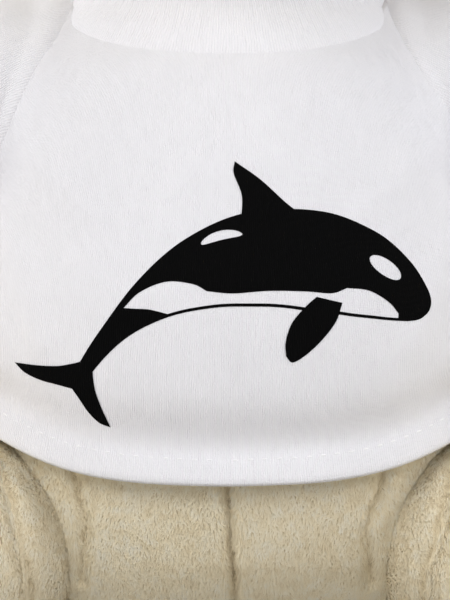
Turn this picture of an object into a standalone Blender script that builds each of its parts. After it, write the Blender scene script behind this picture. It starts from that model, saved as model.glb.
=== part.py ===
"""A seated plush bear in a short-sleeved T-shirt, about 22 cm tall.

Metres, +Z up. The bear faces -Y and sits on the plane Z = 0. The origin is the middle
of the flat seat under the torso. Left and right are the bear's own, so left is +X.
"""

import math

import bmesh
import bpy
from mathutils import Vector

MM = 0.001
GAP = 0.3 * MM
SIDES = {"left": 1, "right": -1}

# Torso: height, half width and half depth of each level ring
TORSO_LEVELS = [
    (0, 28, 25),
    (3, 37, 33),
    (10, 44, 39.5),
    (20, 49, 43.5),
    (32, 52, 46),
    (48, 53, 47),
    (70, 51, 46),
    (90, 46.5, 41),
    (103, 42.5, 36),
    (111, 38, 32),
    (118, 30, 27),
    (123, 25.5, 24),
    (130, 23.5, 22),
]
TORSO_SQUARENESS = 2.35
TORSO_RINGS = 20
TORSO_SEGMENTS = 36

# Head: a wide ball, fuller at the cheeks
HEAD_CENTRE = Vector((0, -6, 171)) * MM
HEAD_HALF = Vector((54, 46, 45)) * MM
HEAD_CHEEK = 0.07
HEAD_SQUARENESS = 2.2
HEAD_RINGS = 20
HEAD_SEGMENTS = 36

# What sits on the head is placed from the head's centre
MUZZLE_CENTRE = HEAD_CENTRE + Vector((0, -41, -13)) * MM
MUZZLE_HALF = Vector((22, 20, 16)) * MM

NOSE_CENTRE = MUZZLE_CENTRE + Vector((0, -16.4, 8)) * MM
NOSE_HALF = Vector((8.2, 5, 5.6)) * MM
NOSE_TAPER = 0.3

EYE_RADIUS = 4.8 * MM
EYE_SIDE = 19 * MM
EYE_HEIGHT = HEAD_CENTRE.z + 6 * MM
EYE_SUNK = 1.2 * MM

EAR_CENTRE = HEAD_CENTRE + Vector((41, 6, 34)) * MM
EAR_RADIUS = 18 * MM
EAR_HALF_THICK = 7 * MM
EAR_DISH = 6 * MM
EAR_TURN = math.radians(18)

# Arm: centreline from inside the shoulder to the paw, and its radii along it
ARM_SHOULDER = Vector((25, -1, 107)) * MM
ARM_ELBOW = Vector((58, -5, 103)) * MM
ARM_PAW = Vector((79, -26, 73)) * MM
ARM_RADII = [(0, 11), (0.1, 13.8), (0.22, 15.6), (0.5, 15.4), (0.75, 15), (1, 15.4)]

# Leg: level centreline from behind the hip to the sole. Each station is a distance
# along it, the radii across and upwards, and the height of the middle
LEG_HIP = Vector((38, -8, 0)) * MM
LEG_SPLAY = math.radians(30)
LEG_STATIONS = [
    (-23, 6, 6, 24),
    (-20, 12.5, 12.5, 24),
    (-13, 20, 20.3, 24),
    (0, 25, 25, 24.5),
    (30, 24, 24, 23.5),
    (48, 21.5, 22, 21.5),
    (62, 22, 25, 24.5),
    (74, 22.5, 28, 27.5),
    (82, 21, 26.5, 27.5),
    (85, 18.5, 23.5, 27.5),
]
SOLE_SHARE = 0.86
SOLE_THICK = 1.6 * MM
SOLE_RIM = 0.8 * MM

TAIL_CENTRE = Vector((0, 46.5, 17)) * MM
TAIL_RADIUS = 10 * MM

# T-shirt of 1.2 mm jersey: how far its outer face stands off the torso at each height
CLOTH = 1.2 * MM
SHIRT_EASE = [(30, 4.6), (46, 3.6), (62, 2.6), (85, 2.1), (104, 2.0), (135, 1.9)]
SHIRT_CLEAR = 0.45 * MM
SHIRT_ROWS = 12
SHIRT_SEGMENTS = 48

# The hem rises over each thigh and hangs lowest at the front and the back
HEM_FRONT = 39 * MM
HEM_BACK = 33 * MM
HEM_OVER_THIGH = 50.5 * MM
HEM_THIGH_AT = math.radians(30)
HEM_THIGH_SPREAD = math.radians(29)

# The neck seam dips at the front and is nearly level from the sides to the back
NECK_FRONT = 113.6 * MM
NECK_BACK = 126 * MM
NECK_DIP_SPREAD = math.radians(85)
NECKBAND_HEIGHT = 10 * MM
NECKBAND_ROWS = 3

SLEEVE_RADII = [(0, 13.4), (0.1, 16.1), (0.22, 17.9), (0.38, 18.4), (0.58, 20)]
SLEEVE_ROWS = 6


def new_material(name, colour, roughness):
    """A plain Principled finish in the photograph's colour."""
    material = bpy.data.materials.new(name)
    material.use_nodes = True
    shader = material.node_tree.nodes["Principled BSDF"]
    shader.inputs["Base Color"].default_value = (*colour, 1)
    shader.inputs["Roughness"].default_value = roughness
    shader.inputs["Metallic"].default_value = 0
    return material


def smooth_value(stations, at, column=1):
    """The stations' value at a place between them, on a curve that never overshoots."""
    places = [s[0] for s in stations]
    values = [s[column] for s in stations]
    if at <= places[0]:
        return values[0]
    if at >= places[-1]:
        return values[-1]
    steps = [
        (values[i + 1] - values[i]) / (places[i + 1] - places[i])
        for i in range(len(places) - 1)
    ]
    slopes = [steps[0]]
    for before, after in zip(steps, steps[1:]):
        turning = before * after <= 0
        slopes.append(0 if turning else 2 * before * after / (before + after))
    slopes.append(steps[-1])
    i = max(k for k in range(len(places) - 1) if places[k] <= at)
    width = places[i + 1] - places[i]
    t = (at - places[i]) / width
    return (
        values[i] * (1 + 2 * t) * (1 - t) ** 2
        + slopes[i] * width * t * (1 - t) ** 2
        + values[i + 1] * t * t * (3 - 2 * t)
        + slopes[i + 1] * width * t * t * (t - 1)
    )


def squared(angle, squareness):
    """The unit superellipse's point at an angle."""
    c, s = math.cos(angle), math.sin(angle)
    power = 2 / squareness
    return (
        math.copysign(abs(c) ** power, c),
        math.copysign(abs(s) ** power, s),
    )


def mesh_from_rings(name, rings, closed_tube=False):
    """One closed body from rings of points, with both ends capped, or with the last
    ring joined to the first where the rings run round a hollow."""
    bm = bmesh.new()
    rows = [[bm.verts.new(p) for p in ring] for ring in rings]
    count = len(rows[0])
    pairs = list(zip(rows, rows[1:]))
    if closed_tube:
        pairs.append((rows[-1], rows[0]))
    for low, high in pairs:
        for k in range(count):
            nxt = (k + 1) % count
            bm.faces.new((low[k], low[nxt], high[nxt], high[k]))
    if not closed_tube:
        for row in (rows[0], rows[-1]):
            middle = bm.verts.new(sum((v.co for v in row), Vector()) / count)
            for k in range(count):
                bm.faces.new((row[k], row[(k + 1) % count], middle))
    bmesh.ops.triangulate(bm, faces=bm.faces[:])
    bmesh.ops.recalc_face_normals(bm, faces=bm.faces[:])
    mesh = bpy.data.meshes.new(name)
    bm.to_mesh(mesh)
    bm.free()
    return mesh


def new_piece(name, mesh, material):
    """A shown sub-part, shaded smooth."""
    piece = bpy.data.objects.new(name, mesh)
    piece.data.materials.append(material)
    bpy.context.scene.collection.objects.link(piece)
    piece.data.shade_smooth()
    return piece


def cut(piece, mesh):
    """Takes a closed mesh away from a piece, which leaves the seam gap between them."""
    cutter = bpy.data.objects.new(piece.name + "_cutter", mesh)
    bpy.context.scene.collection.objects.link(cutter)
    cutter.hide_render = True
    cutter.display_type = "WIRE"
    boolean = piece.modifiers.new("seam", "BOOLEAN")
    boolean.operation = "DIFFERENCE"
    boolean.solver = "EXACT"
    boolean.object = cutter


def torso_ring(height, grow, segments):
    """A level ring of the torso, grown outwards by a clearance or an ease."""
    level = height / MM
    half_width = smooth_value(TORSO_LEVELS, level, 1) * MM + grow
    half_depth = smooth_value(TORSO_LEVELS, level, 2) * MM + grow
    ring = []
    for k in range(segments):
        x, y = squared(2 * math.pi * k / segments, TORSO_SQUARENESS)
        ring.append(Vector((x * half_width, y * half_depth, height)))
    return ring


def torso_mesh(name, grow=0.0):
    top = TORSO_LEVELS[-1][0] * MM
    rings = []
    for i in range(TORSO_RINGS + 1):
        share = i / TORSO_RINGS
        eased = share - math.sin(2 * math.pi * share) / (4 * math.pi)
        rings.append(torso_ring(eased * top, grow, TORSO_SEGMENTS))
    if grow:
        lowest = [p + Vector((0, 0, -grow)) for p in rings[0]]
        rings.insert(0, lowest)
    return mesh_from_rings(name, rings)


def ball_mesh(name, centre, half, rings, segments, bend=None):
    """A ball of three half sizes, with an optional rule that moves its unit points."""
    levels = []
    for i in range(1, rings):
        lat = math.pi * (i / rings - 0.5)
        level = []
        for k in range(segments):
            lon = 2 * math.pi * k / segments
            unit = Vector(
                (
                    math.cos(lat) * math.cos(lon),
                    math.cos(lat) * math.sin(lon),
                    math.sin(lat),
                )
            )
            if bend:
                unit = bend(unit)
            level.append(
                centre
                + Vector((unit.x * half.x, unit.y * half.y, unit.z * half.z))
            )
        levels.append(level)
    return mesh_from_rings(name, levels)


def head_bend(unit):
    """Fills the cheeks out below the middle and squares the ball a little."""
    power = 2 / HEAD_SQUARENESS
    round_part = math.hypot(unit.x, unit.y)
    fuller = round_part ** (power - 1) if round_part > 0 else 1
    cheek = 1 + HEAD_CHEEK * math.sin(math.pi * min(max(-unit.z, 0), 1))
    return Vector((unit.x * fuller * cheek, unit.y * fuller, unit.z))


def head_mesh(name, grow=0.0):
    half = HEAD_HALF + Vector((grow, grow, grow))
    return ball_mesh(name, HEAD_CENTRE, half, HEAD_RINGS, HEAD_SEGMENTS, head_bend)


def muzzle_mesh(name, grow=0.0):
    half = MUZZLE_HALF + Vector((grow, grow, grow))
    return ball_mesh(name, MUZZLE_CENTRE, half, 14, 24)


def nose_bend(unit):
    """A rounded triangle, wide at the top."""
    return Vector((unit.x * (1 + NOSE_TAPER * unit.z), unit.y, unit.z))


def head_front(x, z):
    """Where the head's front face lies, at a place across and up."""
    across = (x / HEAD_HALF.x) ** 2
    up = ((z - HEAD_CENTRE.z) / HEAD_HALF.z) ** 2
    return HEAD_CENTRE.y - HEAD_HALF.y * math.sqrt(1 - across - up)


def ear_mesh(name, side):
    """A round cushion with a dished front, turned a little outwards."""

    def bend(unit):
        edge = math.hypot(unit.x, unit.z)
        dished = EAR_DISH / EAR_HALF_THICK * max(0, 1 - edge**2) ** 2
        hollow = dished if unit.y < 0 else 0
        return Vector((unit.x, unit.y + hollow, unit.z))

    half = Vector((EAR_RADIUS, EAR_HALF_THICK, EAR_RADIUS))
    mesh = ball_mesh(name, Vector(), half, 12, 24, bend)
    for v in mesh.vertices:
        turned = v.co.copy()
        c, s = math.cos(EAR_TURN), math.sin(EAR_TURN)
        turned.x = v.co.x * c - v.co.y * s
        turned.y = v.co.x * s + v.co.y * c
        place = turned + EAR_CENTRE
        v.co = Vector((place.x * side, place.y, place.z))
    return outward(mesh)


def outward(mesh):
    """The mesh with its faces pointing out again, after a mirror."""
    bm = bmesh.new()
    bm.from_mesh(mesh)
    bmesh.ops.recalc_face_normals(bm, faces=bm.faces[:])
    bm.to_mesh(mesh)
    bm.free()
    return mesh


def arm_point(t, side):
    """A point of the arm's centreline, and the direction that it runs in."""
    a, b, c = ARM_SHOULDER, ARM_ELBOW, ARM_PAW
    point = a * (1 - t) ** 2 + b * 2 * t * (1 - t) + c * t * t
    along = (b - a) * 2 * (1 - t) + (c - b) * 2 * t
    flip = Vector((side, 1, 1))
    return point * flip, (along * flip).normalized()


def arm_ring(t, radius, side, segments, ahead=0.0):
    point, along = arm_point(t, side)
    across = along.cross(Vector((0, 0, 1))).normalized()
    up = across.cross(along)
    ring = []
    for k in range(segments):
        angle = 2 * math.pi * k / segments
        off = across * math.cos(angle) + up * math.sin(angle)
        ring.append(point + along * ahead + off * radius)
    return ring


def arm_mesh(name, side, grow=0.0, rows=7, segments=22):
    rings = []
    for i in range(rows + 1):
        t = i / rows
        radius = smooth_value(ARM_RADII, t) * MM + grow
        rings.append(arm_ring(t, radius, side, segments))
    tip = smooth_value(ARM_RADII, 1) * MM + grow
    cap_rows = 5
    for i in range(1, cap_rows):
        angle = math.pi / 2 * i / cap_rows
        radius = tip * math.cos(angle)
        rings.append(arm_ring(1, radius, side, segments, tip * math.sin(angle)))
    return mesh_from_rings(name, rings)


def leg_frame(side):
    """The leg's level directions: along it towards the sole, and across it."""
    along = Vector((math.sin(LEG_SPLAY) * side, -math.cos(LEG_SPLAY), 0))
    across = Vector((math.cos(LEG_SPLAY) * side, math.sin(LEG_SPLAY), 0))
    return along, across


def leg_ring(distance, side, grow, segments, share=1.0):
    """An upright ring of the leg, which rests on the floor all along."""
    along, across = leg_frame(side)
    wide, tall, height = (
        smooth_value(LEG_STATIONS, distance / MM, column) * MM for column in (1, 2, 3)
    )
    hip = Vector((LEG_HIP.x * side, LEG_HIP.y, 0))
    middle = hip + along * distance + Vector((0, 0, height))
    ring = []
    for k in range(segments):
        angle = 2 * math.pi * k / segments
        off = across * math.cos(angle) * (wide * share + grow)
        up = math.sin(angle) * (tall * share + grow)
        point = middle + off + Vector((0, 0, up))
        point.z = max(point.z, -grow)
        ring.append(point)
    return ring


def leg_mesh(name, side, grow=0.0, rows=18, segments=26):
    near, far = LEG_STATIONS[0][0] * MM, LEG_STATIONS[-1][0] * MM
    rings = [
        leg_ring(near + (far - near) * i / rows, side, grow, segments)
        for i in range(rows + 1)
    ]
    if grow:
        along, _ = leg_frame(side)
        rings.append([p + along * grow for p in rings[-1]])
    return mesh_from_rings(name, rings)


def sole_mesh(name, side, segments=26):
    """The oval pad on the foot's flat end, with a rounded rim."""
    along, _ = leg_frame(side)
    far = LEG_STATIONS[-1][0] * MM
    rings = []
    for share, ahead in (
        (SOLE_SHARE, GAP),
        (SOLE_SHARE, GAP + SOLE_THICK - SOLE_RIM),
        (SOLE_SHARE - 0.05, GAP + SOLE_THICK),
        (SOLE_SHARE - 0.4, GAP + SOLE_THICK + SOLE_RIM / 2),
    ):
        ring = leg_ring(far, side, 0, segments, share)
        rings.append([p + along * ahead for p in ring])
    return mesh_from_rings(name, rings)


def shirt_reach(height):
    """How far the T-shirt's outer face stands off the torso."""
    return smooth_value(SHIRT_EASE, height / MM) * MM


def hem_height(angle):
    """The hem's height round the body, from the front through each side to the back."""
    front = 0.5 - 0.5 * math.sin(angle)
    level = HEM_BACK + (HEM_FRONT - HEM_BACK) * front
    side_angle = math.atan2(math.sin(angle), abs(math.cos(angle)))
    from_thigh = (side_angle + HEM_THIGH_AT) / HEM_THIGH_SPREAD
    return level + (HEM_OVER_THIGH - level) * math.exp(-(from_thigh**2))


def neck_height(angle):
    """The neck seam's height round the body."""
    from_front = math.acos(max(-1, min(1, -math.sin(angle))))
    dip = math.exp(-((from_front / NECK_DIP_SPREAD) ** 2))
    return NECK_BACK + (NECK_FRONT - NECK_BACK) * dip


def shell_point(angle, height, grow):
    level = height / MM
    half_width = smooth_value(TORSO_LEVELS, level, 1) * MM + grow
    half_depth = smooth_value(TORSO_LEVELS, level, 2) * MM + grow
    x, y = squared(angle, TORSO_SQUARENESS)
    return Vector((x * half_width, y * half_depth, height))


def wrapped_shell(name, low, high, rows, reach, thickness=CLOTH):
    """A wall of cloth round the torso between two edges, as one closed body."""
    angles = [2 * math.pi * k / SHIRT_SEGMENTS for k in range(SHIRT_SEGMENTS)]
    outer, inner = [], []
    for i in range(rows + 1):
        share = i / rows
        heights = [low(a) + (high(a) - low(a)) * share for a in angles]
        outer.append(
            [shell_point(a, h, reach(h)) for a, h in zip(angles, heights)]
        )
        inner.append(
            [shell_point(a, h, reach(h) - thickness) for a, h in zip(angles, heights)]
        )
    return mesh_from_rings(name, outer + inner[::-1], closed_tube=True)


def shirt_solid(name, grow):
    """The T-shirt's outer form, filled in, to trim what joins it."""
    angles = [2 * math.pi * k / SHIRT_SEGMENTS for k in range(SHIRT_SEGMENTS)]
    rings = []
    for i in range(SHIRT_ROWS + 1):
        share = i / SHIRT_ROWS
        ring = []
        for a in angles:
            low, high = hem_height(a) - grow, neck_height(a) + grow
            height = low + (high - low) * share
            ring.append(shell_point(a, height, shirt_reach(height) + grow))
        rings.append(ring)
    return mesh_from_rings(name, rings)


def sleeve_mesh(name, side, segments=22):
    """A short sleeve, open at the armhole and at the cuff."""
    last = SLEEVE_RADII[-1][0]
    outer, inner = [], []
    for i in range(SLEEVE_ROWS + 1):
        t = last * i / SLEEVE_ROWS
        radius = smooth_value(SLEEVE_RADII, t) * MM
        outer.append(arm_ring(t, radius, side, segments))
        inner.append(arm_ring(t, radius - CLOTH, side, segments))
    return mesh_from_rings(name, outer + inner[::-1], closed_tube=True)


def build_torso_and_head(plush):
    torso = new_piece("torso", torso_mesh("torso"), plush)
    cut(torso, head_mesh("head_room", GAP))
    new_piece("head", head_mesh("head"), plush)
    muzzle = new_piece("muzzle", muzzle_mesh("muzzle"), plush)
    cut(muzzle, head_mesh("muzzle_room", GAP))
    tail_half = Vector((TAIL_RADIUS, TAIL_RADIUS, TAIL_RADIUS))
    tail = new_piece(
        "tail", ball_mesh("tail", TAIL_CENTRE, tail_half, 10, 18), plush
    )
    cut(tail, torso_mesh("tail_room", GAP))


def build_face(dark_plastic):
    nose = new_piece(
        "nose",
        ball_mesh("nose", NOSE_CENTRE, NOSE_HALF, 12, 20, nose_bend),
        dark_plastic,
    )
    cut(nose, muzzle_mesh("nose_room", GAP))
    eye_half = Vector((EYE_RADIUS, EYE_RADIUS, EYE_RADIUS))
    depth = head_front(EYE_SIDE, EYE_HEIGHT) + EYE_SUNK
    for side_name, side in SIDES.items():
        centre = Vector((EYE_SIDE * side, depth, EYE_HEIGHT))
        name = "eye_" + side_name
        eye = new_piece(name, ball_mesh(name, centre, eye_half, 12, 20), dark_plastic)
        cut(eye, head_mesh(name + "_room", GAP))


def build_limbs(plush, suede):
    for side_name, side in SIDES.items():
        ear = new_piece("ear_" + side_name, ear_mesh("ear", side), plush)
        cut(ear, head_mesh("ear_room", GAP))
        arm = new_piece("arm_" + side_name, arm_mesh("arm", side), plush)
        cut(arm, torso_mesh("arm_room", GAP))
        leg = new_piece("leg_" + side_name, leg_mesh("leg", side), plush)
        cut(leg, torso_mesh("leg_room", GAP))
        new_piece("sole_" + side_name, sole_mesh("sole", side), suede)


def build_shirt(jersey):
    body = new_piece(
        "shirt_body",
        wrapped_shell("shirt_body", hem_height, neck_height, SHIRT_ROWS, shirt_reach),
        jersey,
    )
    for side_name, side in SIDES.items():
        cut(body, arm_mesh("armhole_" + side_name, side, SHIRT_CLEAR))
        cut(body, leg_mesh("thigh_room_" + side_name, side, GAP))
        sleeve = new_piece(
            "sleeve_" + side_name, sleeve_mesh("sleeve", side), jersey
        )
        cut(sleeve, shirt_solid("sleeve_room", GAP))
    neckband = new_piece(
        "neckband",
        wrapped_shell(
            "neckband",
            lambda a: neck_height(a) + GAP,
            lambda a: neck_height(a) + NECKBAND_HEIGHT,
            NECKBAND_ROWS,
            shirt_reach,
        ),
        jersey,
    )
    cut(neckband, head_mesh("neckband_room", GAP))


def clear_scene():
    for old in list(bpy.data.objects):
        bpy.data.objects.remove(old)


def main():
    clear_scene()
    plush = new_material("beige plush", (0.69, 0.60, 0.44), 0.95)
    jersey = new_material("white cotton jersey", (0.83, 0.82, 0.85), 0.9)
    suede = new_material("tan suede cloth", (0.52, 0.40, 0.26), 0.9)
    dark_plastic = new_material("black moulded plastic", (0.02, 0.016, 0.014), 0.15)
    build_torso_and_head(plush)
    build_face(dark_plastic)
    build_limbs(plush, suede)
    build_shirt(jersey)


main()
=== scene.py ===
import math

import bmesh
import bpy
import numpy as np
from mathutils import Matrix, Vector
from mathutils.bvhtree import BVHTree
from mathutils.kdtree import KDTree


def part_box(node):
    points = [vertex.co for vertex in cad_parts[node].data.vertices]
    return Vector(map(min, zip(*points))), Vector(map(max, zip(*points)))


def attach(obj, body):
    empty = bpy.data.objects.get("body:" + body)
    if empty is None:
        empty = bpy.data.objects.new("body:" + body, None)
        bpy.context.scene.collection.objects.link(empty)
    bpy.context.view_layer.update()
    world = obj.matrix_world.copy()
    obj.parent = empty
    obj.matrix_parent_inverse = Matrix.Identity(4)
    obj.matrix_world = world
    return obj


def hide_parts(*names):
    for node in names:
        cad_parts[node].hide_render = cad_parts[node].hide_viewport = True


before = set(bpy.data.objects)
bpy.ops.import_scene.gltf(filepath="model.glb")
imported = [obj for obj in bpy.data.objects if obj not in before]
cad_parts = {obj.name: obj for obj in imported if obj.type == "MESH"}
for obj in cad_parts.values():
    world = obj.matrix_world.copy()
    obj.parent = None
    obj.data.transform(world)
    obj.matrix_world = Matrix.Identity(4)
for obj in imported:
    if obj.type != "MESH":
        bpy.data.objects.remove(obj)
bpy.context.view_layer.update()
mm = 0.001  # every size below is in millimetres, and this turns it into metres
scene = bpy.context.scene


# Small helpers

def clearSelection():
    for thing in bpy.context.selected_objects:
        thing.select_set(False)


def activate(piece):
    clearSelection()
    piece.select_set(True)
    bpy.context.view_layer.objects.active = piece


def applyModifiers(piece):
    activate(piece)
    for modifier in list(piece.modifiers):
        bpy.ops.object.modifier_apply(modifier=modifier.name)


def setInPlace(piece, name):
    activate(piece)  # the object goes to the origin and its place into its mesh
    bpy.ops.object.transform_apply(location=True, rotation=True, scale=True)
    piece.name = name
    piece.data.name = name
    return piece


def finishPiece(piece, material, standsFor=()):
    piece.data.materials.clear()
    piece.data.materials.append(material)
    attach(piece, "root")
    if standsFor:
        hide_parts(*standsFor)
    return piece


def addObject(name, data):
    piece = bpy.data.objects.new(name, data)
    scene.collection.objects.link(piece)
    return piece


def newPiece(name, points, faces):
    mesh = bpy.data.meshes.new(name)
    mesh.from_pydata((points.reshape(-1, 3) * mm).tolist(), [], faces)
    mesh.update()
    mesh.shade_smooth()
    return addObject(name, mesh)


def changeMesh(mesh, change):
    body = bmesh.new()
    body.from_mesh(mesh)
    change(body)
    body.to_mesh(mesh)
    body.free()


def mergeDoubles(mesh, apart):
    changeMesh(mesh, lambda body: bmesh.ops.remove_doubles(body, verts=body.verts[:], dist=apart * mm))


def meshPoints(mesh):
    points = np.empty(len(mesh.vertices) * 3)
    mesh.vertices.foreach_get("co", points)
    return points.reshape(-1, 3) / mm


def meshNormals(mesh):
    normals = np.empty(len(mesh.vertices) * 3)
    mesh.vertex_normals.foreach_get("vector", normals)
    return normals.reshape(-1, 3)


def setMeshPoints(mesh, points):
    mesh.vertices.foreach_set("co", (points * mm).ravel())
    mesh.update()


def unitRows(rows):
    return rows / np.maximum(np.linalg.norm(rows, axis=-1, keepdims=True), 1e-12)


def smoothNoise(points, size, seed):
    scaled = np.asarray(points) / size  # one value from -1 to 1 a point, turning over in about this size
    cell = np.floor(scaled).astype(np.int64)
    part = scaled - cell
    part = part * part * (3 - 2 * part)
    total = np.zeros(len(scaled))
    for corner in range(8):
        step = np.array([corner & 1, corner >> 1 & 1, corner >> 2 & 1])
        key = (cell + step) @ np.array([73856093, 19349663, 83492791]) + seed * 7919
        key = (key ^ (key >> 13)) * 1274126177
        value = ((key ^ (key >> 16)) & 65535) / 32767.5 - 1
        total += value * np.prod(np.where(step, part, 1 - part), axis=1)
    return total


def smoothTable(stations, column=1, steps=600):
    places = np.array([s[0] for s in stations], float)  # a curve through the stations that never overshoots
    values = np.array([s[column] for s in stations], float)
    rises = np.diff(values) / np.diff(places)
    slopes = np.concatenate([rises[:1], np.zeros(len(rises) - 1), rises[-1:]])
    before, after = rises[:-1], rises[1:]
    same = before * after > 0
    slopes[1:-1] = np.where(same, 2 * before * after / np.where(same, before + after, 1), 0)
    at = np.linspace(places[0], places[-1], steps)
    i = np.clip(np.searchsorted(places, at, "right") - 1, 0, len(places) - 2)
    width = places[i + 1] - places[i]
    t = (at - places[i]) / width
    rise = values[i] * (1 + 2 * t) * (1 - t) ** 2 + slopes[i] * width * t * (1 - t) ** 2
    return at, rise + values[i + 1] * t * t * (3 - 2 * t) + slopes[i + 1] * width * t * t * (t - 1)


def bump(distance, width):
    return np.exp(-((distance / width) ** 2))


# Camera, light and floor

view = {
    "target": (-0.5, -50, 71.6),
    "distance": 900,
    "elevation": 6,
    "frameHeight": 105.3,
}
studio = {"aim": (0, 0, 80), "air": "#F4F5F8", "airStrength": 0.16}


def makeCamera():
    lift = math.radians(view["elevation"])
    back = Vector((0, -math.cos(lift), math.sin(lift)))
    bpy.ops.object.camera_add(location=(Vector(view["target"]) + back * view["distance"]) * mm)
    camera = bpy.context.object
    camera.rotation_mode = "QUATERNION"
    camera.rotation_quaternion = (-back).to_track_quat("-Z", "Y")
    camera.data.lens = camera.data.sensor_width * view["distance"] / view["frameHeight"]
    camera.data.clip_start, camera.data.clip_end = 0.01, 20
    scene.camera = camera


lamps = {
    "key": {"place": (-420, -600, 620), "size": 420, "power": 2.7, "colour": "#FFFEFC"},
    "front": {"place": (0, -900, 600), "size": 600, "power": 2.5, "colour": "#FFFFFF"},
    "left": {"place": (-760, -250, 330), "size": 500, "power": 2.2, "colour": "#FFFFFF"},
    "right": {"place": (760, -250, 480), "size": 500, "power": 4.2, "colour": "#FBFCFF"},
    "back": {"place": (-300, 700, 420), "size": 500, "power": 5.2, "colour": "#FFFFFF"},
}


def linearColour(hexText):
    channels = [int(hexText[i:i + 2], 16) / 255 for i in (1, 3, 5)]
    return [c / 12.92 if c <= 0.04045 else ((c + 0.055) / 1.055) ** 2.4 for c in channels] + [1.0]


def makeLights():
    aim = Vector(studio["aim"])
    for name, lamp in lamps.items():
        bpy.ops.object.light_add(type="AREA", location=Vector(lamp["place"]) * mm)
        light = bpy.context.object
        light.name = name + "Light"
        light.rotation_mode = "QUATERNION"
        light.rotation_quaternion = (aim - Vector(lamp["place"])).to_track_quat("-Z", "Y")
        light.data.size = lamp["size"] * mm
        light.data.energy = lamp["power"]
        light.data.color = linearColour(lamp["colour"])[:3]
    world = bpy.data.worlds.new("studio")
    world.use_nodes = True
    air = world.node_tree.nodes["Background"]
    air.inputs["Color"].default_value = linearColour(studio["air"])
    air.inputs["Strength"].default_value = studio["airStrength"]
    scene.world = world
    scene.view_settings.view_transform = "Standard"


# Materials

def plugIn(tree, node, inputs):
    for socket, value in inputs.items():  # another node's output is linked, and anything else is set
        if isinstance(value, bpy.types.NodeSocket):
            tree.links.new(value, node.inputs[socket])
        else:
            node.inputs[socket].default_value = value


def addNode(tree, kind, inputs, settings=None, stops=()):
    node = tree.nodes.new(kind)
    for name, value in (settings or {}).items():
        setattr(node, name, value)
    plugIn(tree, node, inputs)
    if stops:
        elements = node.color_ramp.elements
        while len(elements) < len(stops):
            elements.new(0.5)
        for element, (place, colour) in zip(elements, stops):
            element.position, element.color = place, linearColour(colour)
    return node


def newMaterial(name, grains, roughness, specular=0.5, sheen=0.0):
    material = bpy.data.materials.new(name)
    material.use_nodes = True
    tree = material.node_tree
    finish = {"Roughness": roughness, "Specular IOR Level": specular, "IOR": 1.5}
    finish.update({"Sheen Weight": sheen, "Sheen Roughness": 0.5})
    plugIn(tree, tree.nodes["Principled BSDF"], finish)
    grain = {"place": addNode(tree, "ShaderNodeTexCoord", {}).outputs["Object"]}
    for word, (size, detail) in grains.items():  # the size of each grain is in millimetres
        inputs = {"Vector": grain["place"], "Scale": 1 / (size * mm), "Detail": detail}
        grain[word] = addNode(tree, "ShaderNodeTexNoise", inputs).outputs["Fac"]
    return material, tree, grain


def colourAndRelief(tree, colours, shade=None, height=None, depth=0.0):
    if shade is None:
        colour = linearColour(colours)
    else:
        colour = addNode(tree, "ShaderNodeValToRGB", {"Fac": shade}, stops=colours).outputs["Color"]
    look = {"Base Color": colour}
    if height is not None:
        relief = {"Height": height, "Distance": depth * mm}
        look["Normal"] = addNode(tree, "ShaderNodeBump", relief).outputs["Normal"]
    plugIn(tree, tree.nodes["Principled BSDF"], look)


def plushPileMaterial():  # polyester pile: matte fibres that glow at grazing angles, coloured by each tuft's tone, which holds painted shade at the roots and in seams and creases and painted light at the tips
    material, tree, _ = newMaterial("short polyester plush pile", {}, 0.85, specular=0.25, sheen=0.55)
    tone = addNode(tree, "ShaderNodeAttribute", {}, {"attribute_name": "tone"}).outputs["Fac"]
    colourAndRelief(tree, [(0, "#B9A57D"), (0.3, "#EFDFBC"), (0.65, "#FFF4D7"), (1, "#FFFBEB")], tone)
    plugIn(tree, tree.nodes["Principled BSDF"], {"Sheen Tint": linearColour("#FFEBCB")})
    return material


def plushBackingMaterial():  # the knitted backing between the tufts, seen as a soft mottled ground
    material, tree, grain = newMaterial("plush knitted backing", {"mottle": (0.9, 3)}, 0.95, specular=0.2)
    colourAndRelief(tree, [(0.3, "#EFDFBC"), (0.7, "#FCEFD0")], grain["mottle"], grain["mottle"], 0.4)
    return material


jerseyKnit = {
    "wale": 0.80, "course": 0.62, "lean": 0.5, "wander": 0.5, "wanderSize": 4.5, "yarnSize": (0.8, 3.0),
    "relief": 0.10,
}
knitSums = [  # each sum's name, operation and terms: the legs of a loop lean out from its wale's middle
    ("x", "MULTIPLY_ADD", "driftX", jerseyKnit["wander"], "clothX"),
    ("y", "MULTIPLY_ADD", "driftY", 2 * jerseyKnit["wander"], "clothY"),
    ("wales", "DIVIDE", "x", jerseyKnit["wale"]),
    ("inWale", "FRACT", "wales"),
    ("fromMiddle", "SUBTRACT", "inWale", 0.5),
    ("side", "ABSOLUTE", "fromMiddle"),
    ("lean", "MULTIPLY", "side", 4 * math.pi * jerseyKnit["lean"]),
    ("turn", "MULTIPLY_ADD", "y", 2 * math.pi / jerseyKnit["course"], "lean"),
    ("loops", "SINE", "turn"),
    ("sideTurn", "MULTIPLY", "side", 2 * math.pi),
    ("legs", "SINE", "sideTurn"),  # nought between wales, highest on each leg of the V
    ("swell", "MULTIPLY_ADD", "loops", 0.05, 0.72),
    ("even", "MULTIPLY", "legs", "swell"),
    ("yarnWidth", "MULTIPLY_ADD", "yarn", 1.2, 0.4),
    ("height", "MULTIPLY", "even", "yarnWidth"),
]
jerseySums = [
    ("driftShade", "MULTIPLY", "drift", 0.5),
    # painted shade: the colour is darker between the loops and lighter on them, mixed with the yarn's uneven
    # tone
    ("shade", "MULTIPLY_ADD", "height", 0.5, "driftShade"),
    ("rough", "MULTIPLY_ADD", "fuzz", 0.9, "height"),
]


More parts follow.
